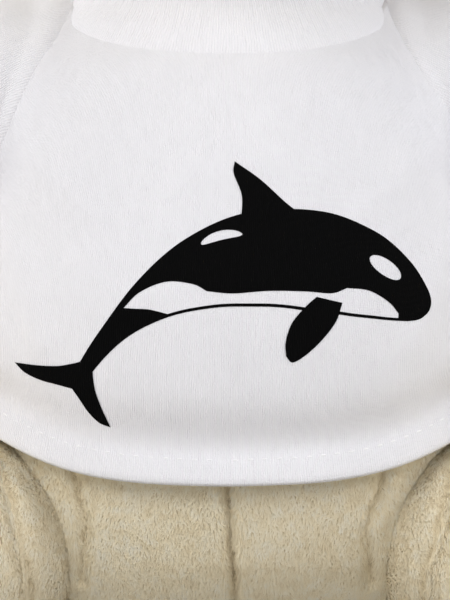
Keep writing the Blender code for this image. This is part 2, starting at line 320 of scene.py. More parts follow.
def knit(tree, sums, grain):  # rows of V-shaped loops on the piece's own UV map, which is in millimetres
    uv = addNode(tree, "ShaderNodeUVMap", {}, {"uv_map": "cloth"}).outputs["UV"]
    cloth = addNode(tree, "ShaderNodeSeparateXYZ", {0: uv})
    wandering = {"Vector": uv, "Scale": 1 / jerseyKnit["wanderSize"], "Detail": 2}
    wander = addNode(tree, "ShaderNodeTexNoise", wandering)
    drift = addNode(tree, "ShaderNodeSeparateXYZ", {0: wander.outputs["Color"]})
    across, along = jerseyKnit["yarnSize"]
    drawn = addNode(tree, "ShaderNodeMapping", {"Vector": uv, "Scale": (1 / across, 1 / along, 1)})
    yarn = addNode(tree, "ShaderNodeTexNoise", {"Vector": drawn.outputs[0], "Scale": 1.0, "Detail": 1})
    known = dict(grain, yarn=yarn.outputs["Fac"])
    for axis in ("X", "Y"):
        known["cloth" + axis], known["drift" + axis] = cloth.outputs[axis], drift.outputs[axis]
    for name, operation, *terms in sums:
        inputs = {i: known.get(term, term) for i, term in enumerate(terms)}
        known[name] = addNode(tree, "ShaderNodeMath", inputs, {"operation": operation}).outputs[0]
    return known


def jerseyMaterial():  # white combed cotton single jersey: matte, very slightly cool, with upright wales and painted shade between the loops
    grains = {"fuzz": (0.35, 2), "drift": (14, 2)}
    material, tree, grain = newMaterial("white cotton single jersey", grains, 0.9, specular=0.25, sheen=0.12)
    made = knit(tree, knitSums + jerseySums, grain)
    colours = [(0.15, "#E4E3E8"), (0.75, "#ECEBEF")]
    colourAndRelief(tree, colours, made["shade"], made["rough"], jerseyKnit["relief"])
    return material


def inkMaterial():  # water-based screen ink soaked into the jersey: matt black, and the wales still show, with painted shade between the loops
    material, tree, grain = newMaterial("black screen print ink", {}, 0.8, specular=0.05)
    height = knit(tree, knitSums, grain)["height"]
    # painted shade: the black is a touch darker between the loops
    colourAndRelief(tree, [(0, "#030303"), (1, "#080809")], height, height, jerseyKnit["relief"])
    return material


def threadMaterial(name, colour, twist=0.35):  # twisted polyester sewing thread with a soft shine
    material, tree, grain = newMaterial(name, {}, 0.6, specular=0.4, sheen=0.1)
    inputs = {"Vector": grain["place"], "Scale": 1 / (twist * mm * 2 * math.pi)}
    ply = addNode(tree, "ShaderNodeTexWave", inputs, {"bands_direction": "DIAGONAL"}).outputs["Fac"]
    colourAndRelief(tree, colour, height=ply, depth=0.04)
    return material


def suedeMaterial():  # brushed suede cloth: matte with a fine nap that catches light unevenly
    grains = {"nap": (0.5, 4), "drift": (7, 3)}
    material, tree, grain = newMaterial("tan suede cloth", grains, 0.9, specular=0.25, sheen=0.3)
    mixed = addNode(tree, "ShaderNodeMix", {0: 0.5, 2: grain["nap"], 3: grain["drift"]}).outputs[0]
    colourAndRelief(tree, [(0.3, "#A58A62"), (0.7, "#C9AF86")], mixed, grain["nap"], 0.12)
    return material


def glossPlasticMaterial():  # injection-moulded black plastic: glossy, with faint moulding ripple
    material, tree, grain = newMaterial("black moulded plastic", {"ripple": (3, 1)}, 0.12)
    colourAndRelief(tree, "#0D0B0A", height=grain["ripple"], depth=0.03)
    return material


def floorMaterial():  # matt background paper, a pale warm grey
    material, tree, _ = newMaterial("pale studio paper", {}, 0.9, specular=0.2)
    colourAndRelief(tree, "#DAD9D7")
    return material


makeCamera()
makeLights()
pile = plushPileMaterial()
backing = plushBackingMaterial()
jersey = jerseyMaterial()
ink = inkMaterial()
whiteThread = threadMaterial("white sewing thread", "#F2F1F4")
brownThread = threadMaterial("dark brown embroidery thread", "#2E2119")
tanThread = threadMaterial("tan sewing thread", "#A98F68")
suede = suedeMaterial()
blackPlastic = glossPlasticMaterial()
bpy.ops.mesh.primitive_plane_add(size=6, location=(0, 0, -0.0002))
floor = setInPlace(bpy.context.object, "floor")
floor.data.materials.append(floorMaterial())
print("camera, light, floor and materials ready")


# Forms that the pieces share, the same as the solids'

torsoForm = {
    "levels": [(0, 28, 25), (3, 37, 33), (10, 44, 39.5), (20, 49, 43.5), (32, 52, 46), (48, 53, 47),
               (70, 51, 46), (90, 46.5, 41), (103, 42.5, 36), (111, 38, 32), (118, 30, 27), (123, 25.5, 24),
               (130, 23.5, 22)],
    "squareness": 2.35,
}
torsoWidth = smoothTable(torsoForm["levels"], 1)
torsoDepth = smoothTable(torsoForm["levels"], 2)

armForm = {"shoulder": (25, -1, 107), "elbow": (58, -5, 103), "paw": (79, -26, 73)}
legForm = {"hip": (38, -8, 0), "splay": 30}
sides = ((1, "left"), (-1, "right"))


def torsoPoint(angle, height, grow):
    power = 2 / torsoForm["squareness"]
    c, s = np.cos(angle), np.sin(angle)
    x = np.sign(c) * np.abs(c) ** power * (np.interp(height, *torsoWidth) + grow)
    y = np.sign(s) * np.abs(s) ** power * (np.interp(height, *torsoDepth) + grow)
    return np.stack([x, y, np.broadcast_to(height, x.shape)], -1)


def torsoAngle(points):
    power = torsoForm["squareness"] / 2
    x = points[:, 0] / np.interp(points[:, 2], *torsoWidth)
    y = points[:, 1] / np.interp(points[:, 2], *torsoDepth)
    return np.arctan2(np.sign(y) * np.abs(y) ** power, np.sign(x) * np.abs(x) ** power)


def outsideTorso(points, grow):
    power = torsoForm["squareness"]
    x = np.abs(points[..., 0]) / (np.interp(points[..., 2], *torsoWidth) + grow)
    y = np.abs(points[..., 1]) / (np.interp(points[..., 2], *torsoDepth) + grow)
    return x ** power + y ** power - 1


def legLine(side):
    splay = math.radians(legForm["splay"])
    return np.array([math.sin(splay) * side, -math.cos(splay), 0])


def armLine(t, side):
    a, b, c = (np.array(armForm[k], float) for k in ("shoulder", "elbow", "paw"))
    t = np.asarray(t, float)[..., None]
    flip = np.array([side, 1, 1])
    point = (a * (1 - t) ** 2 + b * 2 * t * (1 - t) + c * t * t) * flip
    along = unitRows(((b - a) * 2 * (1 - t) + (c - b) * 2 * t) * flip)
    across = unitRows(np.cross(along, np.array([0, 0, 1.0])))
    return point, along, across, np.cross(across, along)


def armRing(t, radius, angle, side):
    point, along, across, up = armLine(t, side)
    angle, radius = np.asarray(angle)[..., None], np.asarray(radius)[..., None]
    return point + (across * np.cos(angle) + up * np.sin(angle)) * radius


def alongArm(points, side):
    t = np.linspace(0, 1, 101)  # how far along the arm each point is, and how far from its middle
    line = armLine(t, side)[0]
    apart = np.linalg.norm(points[:, None, :] - line[None], axis=2)
    nearest = apart.argmin(1)
    return t[nearest], apart[np.arange(len(points)), nearest]


# Stuffed plush: each skin is its own solid, filled out as by stuffing, and drawn in by the depth of the pile

plush = {
    "voxel": 2.6,
    "pressure": 4.0,
    "frames": 20,
    "cap": 2.2,
    "pileDepth": 1.5,
    "rootReach": 0.8,
    "rootDepth": 4.5,
}
skinHosts = {
    "torso": (),
    "head": ("torso",),
    "muzzle": ("head",),
    "tail": ("torso",),
    "ear_left": ("head",),
    "ear_right": ("head",),
    "arm_left": ("torso",),
    "arm_right": ("torso",),
    "leg_left": ("torso",),
    "leg_right": ("torso",),
}


def treeOf(piece):
    points = [v.co.copy() for v in piece.data.vertices]
    return BVHTree.FromPolygons(points, [tuple(p.vertices) for p in piece.data.polygons])


def copyOfNode(node):
    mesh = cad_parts[node].data.copy()
    mergeDoubles(mesh, 0.01)
    return addObject("skin_" + node, mesh)


def sinkRoot(piece, host):
    tree = treeOf(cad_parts[host])  # the face that meets the host goes on into it, so that no gap shows
    for vertex in piece.data.vertices:
        place, normal, _, apart = tree.find_nearest(vertex.co)
        if apart < plush["rootReach"] * mm:
            vertex.co = vertex.co - normal * plush["rootDepth"] * mm


def stuff(pieces):
    before = {p.name: meshPoints(p.data) for p in pieces}
    for piece in pieces:
        cloth = piece.modifiers.new("stuffing", "CLOTH")
        cloth.settings.quality = 4
        cloth.settings.use_pressure = True
        cloth.settings.uniform_pressure_force = plush["pressure"]
        cloth.settings.effector_weights.gravity = 0
        cloth.settings.tension_stiffness = 12
        cloth.settings.compression_stiffness = 6
        cloth.settings.bending_stiffness = 0.3
        cloth.collision_settings.use_collision = False
        cloth.point_cache.frame_start, cloth.point_cache.frame_end = 1, plush["frames"]
    for step in range(1, plush["frames"] + 1):
        scene.frame_set(step)
    shapes = bpy.context.evaluated_depsgraph_get()
    for piece in pieces:
        after = meshPoints(piece.evaluated_get(shapes).data)
        move = after - before[piece.name]
        length = np.linalg.norm(move, axis=1, keepdims=True)
        move *= np.minimum(1, plush["cap"] / np.maximum(length, 1e-9))
        piece.modifiers.clear()
        setMeshPoints(piece.data, before[piece.name] + move)
        print("stuffed", piece.name, "moved up to", round(float(length.max()), 2), "mm")
    scene.frame_set(1)


def makeSkins():
    skins = {}
    for node, hosts in skinHosts.items():
        piece = copyOfNode(node)
        for host in hosts:
            sinkRoot(piece, host)
        remesh = piece.modifiers.new("remesh", "REMESH")
        remesh.mode, remesh.voxel_size = "VOXEL", plush["voxel"] * mm
        applyModifiers(piece)
        skins[node] = piece
    stuff(list(skins.values()))
    for piece in skins.values():
        finer = piece.modifiers.new("finer", "SUBSURF")
        finer.levels = finer.render_levels = 1
        applyModifiers(piece)
        piece.data.shade_smooth()
        points = meshPoints(piece.data)
        setMeshPoints(piece.data, points - meshNormals(piece.data) * plush["pileDepth"])
    return skins


# Seams and creases in the plush, as seen from the front: where each runs, how deep and how wide it is

frontSeams = [
    {"line": [(0.2, 60), (0, 38), (0.5, 28), (1.4, 18), (1.6, 4)], "depth": 1.9, "width": 0.85},
    {"line": [(-29, 44), (-27, 38), (-25.5, 30), (-26.5, 20)], "depth": 1.0, "width": 1.0},
    {"line": [(29, 43), (27, 37), (24.8, 30), (26, 20)], "depth": 1.0, "width": 1.0},
    {"line": [(-40, 40), (-38, 35), (-36.5, 29), (-35, 23), (-34.5, 12)], "depth": 1.3, "width": 1.5},
    {"line": [(40, 40), (38, 35), (36.5, 29), (34.5, 24), (34.5, 12)], "depth": 1.3, "width": 1.5},
]


pressForm = {
    "foremost": -64, "fade": 8, "shadeFrom": -62, "finerWithin": 3.2,
    "backSeam": {"depth": 1.2, "width": 1.6},
    "tuck": {"top": 25, "height": 18, "depth": 3.6, "width": 34},
    "headSeam": {"depth": 0.9, "width": 1.7, "aside": 22, "lean": 0.18, "brow": 186, "crown": 8},
    "eyeSocket": {"depth": 1.1, "width": 7.5},
}


def lineDistance(places, line):
    best = np.full(len(places), 1e9)
    for start, end in zip(line, line[1:]):
        a, b = np.array(start, float), np.array(end, float)
        t = np.clip(((places - a) @ (b - a)) / ((b - a) @ (b - a)), 0, 1)
        best = np.minimum(best, np.linalg.norm(places - a - t[:, None] * (b - a), axis=1))
    return best


def seamDistance(points):
    apart = np.full(len(points), 1e9)
    for seam in frontSeams:
        apart = np.minimum(apart, lineDistance(points[:, [0, 2]], seam["line"]))
    return np.where((points[:, 1] < 0) & (points[:, 1] > pressForm["shadeFrom"]), apart, 1e9)


def refineNearSeams(body):
    middles = np.array([(e.verts[0].co + e.verts[1].co) / 2 for e in body.edges]) / mm
    near = seamDistance(middles) < pressForm["finerWithin"]
    edges = [edge for edge, close in zip(body.edges[:], near) if close]
    bmesh.ops.subdivide_edges(body, edges=edges, cuts=1, use_grid_fill=True)


def groove(apart, form):
    return form["depth"] * bump(apart, form["width"])


def pressSeams(skins):
    for node in ("torso", "leg_left", "leg_right"):
        mesh = skins[node].data
        changeMesh(mesh, refineNearSeams)
        mesh.shade_smooth()
        points, normals = meshPoints(mesh), meshNormals(mesh)
        inward = sum(groove(lineDistance(points[:, [0, 2]], seam["line"]), seam) for seam in frontSeams)
        front = points[:, 1] < 0
        inward *= front * np.clip((points[:, 1] - pressForm["foremost"]) / pressForm["fade"], 0, 1)
        if node == "torso":
            inward += ~front * groove(points[:, 0], pressForm["backSeam"])
            tuck = pressForm["tuck"]  # the belly tucks in above the seat
            under = np.clip((tuck["top"] - points[:, 2]) / tuck["height"], 0, 1)
            facing = np.clip(-normals[:, 1], 0, 1)
            inward += under ** 2 * (3 - 2 * under) * groove(points[:, 0], tuck) * facing
        setMeshPoints(mesh, points - normals * inward[:, None])
    mesh, form = skins["head"].data, pressForm["headSeam"]
    points, normals = meshPoints(mesh), meshNormals(mesh)
    fromSeams = np.abs(points[:, 0]) - form["aside"] - form["lean"] * (points[:, 1] + 20)
    overBrow = 0.5 + 0.5 * np.tanh((points[:, 2] - form["brow"]) / 4)
    behindCrown = 0.5 + 0.5 * np.tanh((points[:, 1] - form["crown"]) / 4)
    inward = overBrow * groove(fromSeams, form) + behindCrown * groove(points[:, 0], form)
    for _, word in sides:  # the eyes are pulled in by their washers
        low, high = (np.array(c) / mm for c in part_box("eye_" + word))
        inward += groove(np.linalg.norm(points - (low + high) / 2, axis=1), pressForm["eyeSocket"])
    setMeshPoints(mesh, points - normals * inward[:, None])


skins = makeSkins()
pressSeams(skins)
print("skins", {n: len(p.data.polygons) for n, p in skins.items()})


# The T-shirt: one wall of jersey round the torso, two sleeves and a neckband

shirtForm = {
    "ease": [(30, 3.3), (46, 2.9), (64, 3.0), (85, 2.2), (104, 2.0), (113, 2.1), (121, 3.3), (140, 3.3)],
    "jersey": 0.75,
    "hemFront": 39, "hemBack": 33, "hemOverThigh": 48.8, "thighAt": 30, "thighSpread": 29,
    "neckFront": 114.6, "neckBack": 126, "neckSpread": 85,
    "hemDepth": 5.0, "hemFlare": 0.5, "hemDraw": 2.5, "drawHeight": 6.2, "drawWidth": 5.5,
    "rows": 84,
    "frontReach": 50.0,
    "underBand": 1.4,
    "frontPitch": 0.62,
    "backPitch": 1.15,
}
shirtEase = smoothTable(shirtForm["ease"])


def hemHeight(angle):
    front = 0.5 - 0.5 * np.sin(angle)
    level = shirtForm["hemBack"] + (shirtForm["hemFront"] - shirtForm["hemBack"]) * front
    sideAngle = np.arctan2(np.sin(angle), np.abs(np.cos(angle)))
    fromThigh = (sideAngle + math.radians(shirtForm["thighAt"])) / math.radians(shirtForm["thighSpread"])
    return level + (shirtForm["hemOverThigh"] - level) * np.exp(-(fromThigh ** 2))


def neckHeight(angle):
    fromFront = np.arccos(np.clip(-np.sin(angle), -1, 1))
    dip = np.exp(-((fromFront / math.radians(shirtForm["neckSpread"])) ** 2))
    return shirtForm["neckBack"] + (shirtForm["neckFront"] - shirtForm["neckBack"]) * dip


def roundTable():
    angle = np.linspace(-math.pi / 2, 1.5 * math.pi, 4001)  # round the belly from its front middle
    ring = torsoPoint(angle, 60.0, 2.6)
    length = np.concatenate([[0], np.cumsum(np.linalg.norm(np.diff(ring, axis=0), axis=1))])
    return angle, length


roundAngle, roundLength = roundTable()
girth = roundLength[-1]


def shirtColumns():
    reach = shirtForm["frontReach"]  # from one side seam round the front and back to the same seam
    start, end = -girth / 4, girth * 0.75
    before = np.linspace(start, -reach, int((-reach - start) / shirtForm["backPitch"]), endpoint=False)
    front = np.arange(-reach, reach, shirtForm["frontPitch"])
    after = np.linspace(reach, end, int((end - reach) / shirtForm["backPitch"]), endpoint=False)
    return np.concatenate([before, front, after])


def roundPlaces(points):
    angle = np.mod(torsoAngle(points) + math.pi / 2, 2 * math.pi) - math.pi / 2
    place = np.interp(angle, roundAngle, roundLength)  # from the front middle, less than nought on the right
    return np.where(place > girth * 0.75, place - girth, place)


def gridFaces(rows, columns, closed=True):
    low = np.arange(rows - 1)[:, None] * columns + np.arange(columns if closed else columns - 1)
    right = low + 1
    if closed:
        right[:, -1] -= columns
    return np.stack([low, right, right + columns, low + columns], -1).reshape(-1, 4)


def gridNormals(grid):
    across = np.roll(grid, -1, 1) - np.roll(grid, 1, 1)
    up = np.gradient(grid, axis=0)
    return unitRows(np.cross(across, up))


sleeveForm = {
    "radii": [(0, 13.4), (0.1, 16.1), (0.22, 17.9), (0.38, 18.4), (0.58, 20)],
    "cuff": 0.58, "cuffRadius": 20.0, "cuffDepth": 4.0, "rows": 44, "columns": 240,
    "swells": [(0.35, 12, 11), (0.12, 5, 12)],  # the height, size and seed of the cloth's unevenness
    "shoulderRise": 1.8, "shoulderAt": 0.12, "shoulderWidth": 0.2, "bunch": 0.7, "ridges": 0.5,
}
armholeForm = {"blend": 7.0, "groove": 0.16, "grooveWidth": 0.7, "sink": 0.05, "inside": 3.0}


def sleeveRadius(t):
    return np.interp(t, *smoothTable(sleeveForm["radii"]))


def sleeveAngles():
    start = -math.pi / 2  # the seam under the arm
    return np.linspace(start, start + 2 * math.pi, sleeveForm["columns"], endpoint=False)


def armholeStart(side):
    t = np.linspace(0.0, 0.5, 501)
    grid = armRing(t[:, None], sleeveRadius(t)[:, None], sleeveAngles()[None], side)
    out = outsideTorso(grid, np.interp(grid[..., 2], *shirtEase)) > 0
    return t[np.clip(out.argmax(0), 1, None)]


def apartFrom(points, targets, normals):
    tree = KDTree(len(targets))  # how far outside the surface of the targets each point is
    for i, target in enumerate(targets):
        tree.insert(target, i)
    tree.balance()
    nearest = np.array([tree.find(p)[1] for p in points])
    return ((points - targets[nearest]) * normals[nearest]).sum(1)


def armholeRise(apart):  # body and sleeve flow into each other, with the seam between
    blend = armholeForm["blend"]
    share = np.clip(1 - apart / blend, 0, 1)
    return blend / 4 * share ** 2 - armholeForm["groove"] * bump(apart, armholeForm["grooveWidth"])


drape = {
    "swells": [(0.34, 19, 3), (0.1, 8, 5)],  # the height, size and seed of the cloth's unevenness
    "neckCalm": 10, "looseBehind": -14, "looseOver": 12,
    "waves": 11, "waveRise": 0.25, "hemWaveRise": 0.95, "hemWaveReach": 16,
    "armpitFolds": [  # start beside the armpit, end down the shirt, and height and width of each soft ridge
        {"line": [(41, 84), (33, 63)], "rise": 0.55, "width": 3.0},
        {"line": [(43, 80), (42, 58)], "rise": 0.7, "width": 3.4},
        {"line": [(36, 96), (24, 86)], "rise": 0.35, "width": 2.6},
    ],
}
stitchForm = {"pitch": 2.6, "length": 1.35, "thickness": 0.32, "sink": 0.04}


def shirtRelief(points, roundPlace, overHem, underNeck):
    relief = sum(rise * smoothNoise(points, size, seed) for rise, size, seed in drape["swells"])
    relief = relief * np.clip(underNeck / drape["neckCalm"], 0, 1)
    behind = 0.5 + 0.5 * np.tanh((points[:, 1] - drape["looseBehind"]) / drape["looseOver"])
    turn = roundPlace / girth * 2 * math.pi * drape["waves"]
    wave = behind * np.sin(turn + 0.9 * smoothNoise(points * [1, 1, 0.3], 30, 7))
    rise = drape["waveRise"] + drape["hemWaveRise"] * np.exp(-overHem / drape["hemWaveReach"])
    relief += rise * wave * np.minimum(1, underNeck / 30)
    places = np.stack([np.abs(points[:, 0]), points[:, 2]], 1)
    for fold in drape["armpitFolds"]:
        relief += fold["rise"] * bump(lineDistance(places, fold["line"]), fold["width"])
    overSeam = overHem - shirtForm["hemDepth"]
    relief += shirtForm["hemFlare"] * np.clip(-overSeam / shirtForm["hemDepth"], 0, 1)
    relief -= shirtForm["hemDraw"] * bump(overHem - shirtForm["drawHeight"], shirtForm["drawWidth"])
    relief += np.where(overSeam < 0, 0.3, 0.3 * bump(overSeam, 0.45))  # the hem is two layers thick
    stitchPlace = np.mod(roundPlace, stitchForm["pitch"]) / stitchForm["pitch"]
    needle = bump(np.minimum(stitchPlace, 1 - stitchPlace), 0.24)
    relief -= bump(overSeam + 0.3, 0.75) * (0.1 + 0.3 * needle)  # each stitch pulls the cloth in
    relief -= 0.14 * bump(underNeck, 1.0) - 0.1 * bump(underNeck - 2.6, 1.5)
    sideSeam = np.abs(np.abs(np.mod(roundPlace, girth) - girth / 2) - girth / 4)
    relief -= 0.3 * bump(sideSeam, 0.7) - 0.18 * bump(sideSeam - 1.8, 1.0)
    return relief


def setUv(piece, name, values):
    mesh = piece.data
    layer = mesh.uv_layers.new(name=name)
    corners = np.empty(len(mesh.loops), np.int64)
    mesh.loops.foreach_get("vertex_index", corners)
    layer.data.foreach_set("uv", values[corners].astype(np.float32).ravel())


def shirtBodyGrid():
    places = shirtColumns()
    angle = np.interp(np.mod(places, girth), roundLength, roundAngle)
    low, high = hemHeight(angle), neckHeight(angle) + shirtForm["underBand"]
    share = np.linspace(0, 1, shirtForm["rows"])[:, None]
    height = low + (high - low) * share
    base = torsoPoint(np.broadcast_to(angle, height.shape), height, np.interp(height, *shirtEase))
    normals = gridNormals(base)
    flat = base.reshape(-1, 3)
    place = np.broadcast_to(np.mod(places, girth), height.shape).ravel()
    underNeck = high - shirtForm["underBand"] - height
    relief = shirtRelief(flat, place, (height - low).ravel(), underNeck.ravel())
    plain = base + normals * relief.reshape(height.shape)[..., None]
    for side, _ in sides:
        near = np.flatnonzero((flat[:, 0] * side > 15) & (flat[:, 2] > 74))
        t, apart = alongArm(flat[near], side)
        relief[near] += armholeRise(apart - sleeveRadius(t)) * np.clip((0.6 - t) / 0.1, 0, 1)
    outer = base + normals * relief.reshape(height.shape)[..., None]
    return places, outer, plain, normals, height


def giveWall(piece):
    wall = piece.modifiers.new("wall", "SOLIDIFY")
    wall.thickness, wall.offset = shirtForm["jersey"] * mm, -1
    applyModifiers(piece)
    piece.data.shade_smooth()
    return piece


def roundEdge():  # out from the cloth's outer face and round to its inner one, as an edge is folded under
    thick = shirtForm["jersey"]
    return [(thick * (1 - math.cos(b)), thick * math.sin(b)) for b in math.pi * np.linspace(0.15, 0.85, 4)]


def looseVertices(body):
    return [vertex for vertex in body.verts if not vertex.link_faces]


def makeShirtBody():
    places, outer, plain, normals, height = shirtBodyGrid()
    rows, columns = height.shape
    turned = [outer[0] - normals[0] * inward - np.array([0, 0, below]) for inward, below in roundEdge()]
    for lift in (0, 1, 2, 3.2, 4.6):  # the hem's cloth goes on up inside
        row = int(round(lift / float(height[1].mean() - height[0].mean())))
        turned.append(outer[row] - normals[row] * 2 * shirtForm["jersey"])
    turned = np.array(turned)[::-1]
    grid = np.concatenate([turned, outer])
    flat = grid.reshape(-1, 3)
    faces = gridFaces(len(grid), columns)
    middle = flat[faces].mean(1)
    inside = np.zeros(len(faces), bool)
    for side, _ in sides:  # the cloth inside each sleeve is cut away
        near = np.flatnonzero((middle[:, 0] * side > 15) & (middle[:, 2] > 78))
        t, apart = alongArm(middle[near], side)
        inside[near] |= (apart < sleeveRadius(t) - armholeForm["inside"]) & (t > 0.05) & (t < 0.35)
    body = newPiece("tshirt_body", flat, faces[~inside].tolist())
    uvTurned = height[:1] + np.linspace(-6, 0, len(turned))[:, None]
    uvHeight = np.concatenate([uvTurned, height])
    setUv(body, "cloth", np.stack([np.broadcast_to(places, uvHeight.shape).ravel(), uvHeight.ravel()], 1))
    changeMesh(body.data, lambda edit: bmesh.ops.delete(edit, geom=looseVertices(edit), context="VERTS"))
    tree = treeOf(body)
    return giveWall(body), tree, (plain.reshape(-1, 3), normals.reshape(-1, 3))


def makeSleeve(side, word):
    start = np.maximum(armholeStart(side) - armholeForm["sink"], 0)  # a little inside the body
    angle, cuff = sleeveAngles(), sleeveForm["cuff"]
    t = start + (cuff - start) * np.linspace(0, 1, sleeveForm["rows"])[:, None]
    radius = sleeveRadius(t)
    line = armLine(t, side)[0]
    fromSeam = np.abs(np.linalg.norm(line - line[:1], axis=2) - 1.4)
    fromCuff = np.linalg.norm(line - line[-1:], axis=2)
    base = armRing(t, radius, np.broadcast_to(angle, t.shape), side)
    flat = base.reshape(-1, 3)
    relief = sum(rise * smoothNoise(flat, size, seed) for rise, size, seed in sleeveForm["swells"])
    relief = (relief + armholeRise(apartFrom(flat, *shirtGrid))).reshape(t.shape)
    shoulder = sleeveForm["shoulderRise"] * np.clip(np.sin(angle), 0, 1)
    relief += shoulder * bump(t - sleeveForm["shoulderAt"], sleeveForm["shoulderWidth"])
    under = 0.5 - 0.5 * np.sin(angle)  # the cloth bunches under the arm
    bunched = under * np.sin(fromSeam * 0.8 + 1.2 * np.cos(angle)) * np.exp(-fromSeam / 14)
    ridge = fromSeam * 0.55 - 7 * np.cos(angle - 0.4 * side)
    ridged = np.sin(ridge * 0.55) * np.clip(fromSeam / 6, 0, 1) * np.clip(fromCuff / 8, 0, 1)
    relief += sleeveForm["bunch"] * bunched + sleeveForm["ridges"] * ridged
    pastHem = fromCuff - sleeveForm["cuffDepth"]
    relief += np.where(pastHem < 0, 0.2, 0.2 * bump(pastHem, 0.5)) - 0.25 * bump(pastHem + 0.2, 0.6)
    outer = armRing(t, radius + relief, np.broadcast_to(angle, t.shape), side)
    edge, ahead = radius[-1] + relief[-1], armLine(t[-1], side)[1]
    turned = [armRing(t[-1], edge - inward, angle, side) + ahead * past for inward, past in roundEdge()]
    for row in (-1, -3, -6):  # the cuff's cloth goes back inside
        turned.append(armRing(t[row], radius[row] + relief[row] - 2 * shirtForm["jersey"], angle, side))
    grid = np.concatenate([outer, np.array(turned)])
    faces = gridFaces(len(grid), len(angle))
    sleeve = newPiece("tshirt_sleeve_" + word, grid, (faces[:, ::-1] if side > 0 else faces).tolist())
    along = np.concatenate([fromSeam, fromSeam[-1:] + np.linspace(0.3, 5, len(turned))[:, None]])
    around = np.broadcast_to(angle * 19, along.shape)  # about the sleeve's mean radius
    setUv(sleeve, "cloth", np.stack([around.ravel(), along.ravel()], 1))
    return giveWall(sleeve)


neckForm = {"thickness": 1.5, "ribPitch": 1.05, "ribRise": 0.05, "girthShare": 0.52}


def makeNeckband():
    ribs = int(girth * neckForm["girthShare"] / neckForm["ribPitch"])
    columns = ribs * 6
    place = (np.arange(columns) / columns - 0.5) * girth  # it is joined at the back
    angle = np.interp(np.mod(place, girth), roundLength, roundAngle)
    low = neckHeight(angle)
    half = neckForm["thickness"] / 2
    profile = [(-0.7, -1.6), (-0.35, -0.9), (-0.1, -0.3)]  # each point's way outwards and its lift
    profile += [(0.0, lift) for lift in (0.2, 0.7, 1.5, 2.5, 3.6, 4.8, 6.0, 7.2, 8.2)]
    bends = np.linspace(0.3, math.pi - 0.3, 5)
    profile += [(-half + half * math.cos(bend), 8.9 + half * math.sin(bend)) for bend in bends]
    profile += [(-2 * half, lift) for lift in (8.0, 5.0, 2.0, -1.0)]
    rib = neckForm["ribRise"] * np.cos(np.arange(columns) * 2 * math.pi / 6)
    grid = []
    for outward, lift in profile:
        height = low + lift
        base = torsoPoint(angle, height, np.interp(height, *shirtEase) + 0.2)
        sideways = unitRows(base * [1, 1, 0])
        face = min(1, max(0, (lift - 0.3) / 2)) if outward > -half else 0.3
        swell = -0.1 * bump(lift, 0.8) + 0.15 * bump(lift - 3.0, 2.2)
        wobble = 0.3 * smoothNoise(base, 14, 21) * min(1, max(0, lift / 4))
        grid.append(base + sideways * (outward + rib * face + swell + wobble)[:, None])
    grid = np.array(grid + [grid[0]])
    band = newPiece("tshirt_neckband", grid, gridFaces(len(grid), columns).tolist())
    lifts = np.array([lift for _, lift in profile + profile[:1]])
    around = np.broadcast_to(place * neckForm["girthShare"], (len(grid), columns))
    setUv(band, "cloth", np.stack([around.ravel(), np.repeat(lifts, columns)], 1))
    mergeDoubles(band.data, 0.001)
    return band


shirtBody, shirtTree, shirtGrid = makeShirtBody()
sleeves = {side: makeSleeve(side, word) for side, word in sides}
neckband = makeNeckband()
finishPiece(shirtBody, jersey, ["shirt_body"])
for side, word in sides:
    finishPiece(sleeves[side], jersey, ["sleeve_" + word])
finishPiece(neckband, jersey, ["neckband"])
print("T-shirt", len(shirtBody.data.polygons), len(neckband.data.polygons))


# Sewing: one stitch is modelled once and repeated along a line on the cloth

def stitchPoints(length, thickness):
    bpy.ops.mesh.primitive_uv_sphere_add(segments=8, ring_count=8, radius=0.5, location=(0, 0, 0))
    stitch = bpy.context.object
    bpy.ops.object.mode_set(mode="EDIT")
    bpy.ops.transform.rotate(value=math.pi / 2, orient_axis="Y", center_override=(0, 0, 0))
    bpy.ops.transform.resize(value=(length * mm, thickness * mm, thickness * mm))
    bpy.ops.object.mode_set(mode="OBJECT")
    points = meshPoints(stitch.data)
    faces = [tuple(p.vertices) for p in stitch.data.polygons]
    bpy.data.objects.remove(stitch)
    return points, faces


def sewLine(name, places, alongs, outwards, length, thickness, sink):
    shape, faces = stitchPoints(length, thickness)
    shape[:, 2] -= (shape[:, 0] / (length / 2)) ** 2 * thickness * 0.45  # each end dips into the cloth
    alongs = unitRows(alongs)
    outwards = unitRows(outwards - alongs * (outwards * alongs).sum(1)[:, None])
    sideways = np.cross(outwards, alongs)
    base = places - outwards * sink
    axes = np.stack([alongs, sideways, outwards], 1)
    points = base[:, None] + np.einsum("pk,skc->spc", shape, axes)
    step = len(shape)
    joined = [tuple(v + step * i for v in face) for i in range(len(places)) for face in faces]
    return newPiece(name, points, joined)


def onCloth(tree, points):
    found = [tree.find_nearest(Vector(p) * mm) for p in points]
    return np.array([f[0] for f in found]) / mm, np.array([f[1] for f in found])


def sewRound(name, tree, points):
    points, outwards = onCloth(tree, points)
    alongs = np.roll(points, -1, 0) - np.roll(points, 1, 0)
    form = (stitchForm[k] for k in ("length", "thickness", "sink"))
    return finishPiece(sewLine(name, points, alongs, outwards, *form), whiteThread)


def sewHem():
    count = int(girth / stitchForm["pitch"])
    place = (np.arange(count) + 0.5) * stitchForm["pitch"]
    angle = np.interp(place, roundLength, roundAngle)
    height = hemHeight(angle) + shirtForm["hemDepth"] - 0.3
    line = torsoPoint(angle, height, np.interp(height, *shirtEase))
    return sewRound("tshirt_hem_stitches", shirtTree, line)


def sewCuff(side, word):
    radius = sleeveForm["cuffRadius"]
    count = int(2 * math.pi * (radius - 0.2) / stitchForm["pitch"])
    t = np.full(count, sleeveForm["cuff"])
    ring = armRing(t, radius + 0.5, np.arange(count) / count * 2 * math.pi, side)
    line = ring - armLine(t, side)[1] * (sleeveForm["cuffDepth"] - 0.2)
    return sewRound("tshirt_cuff_stitches_" + word, treeOf(sleeves[side]), line)


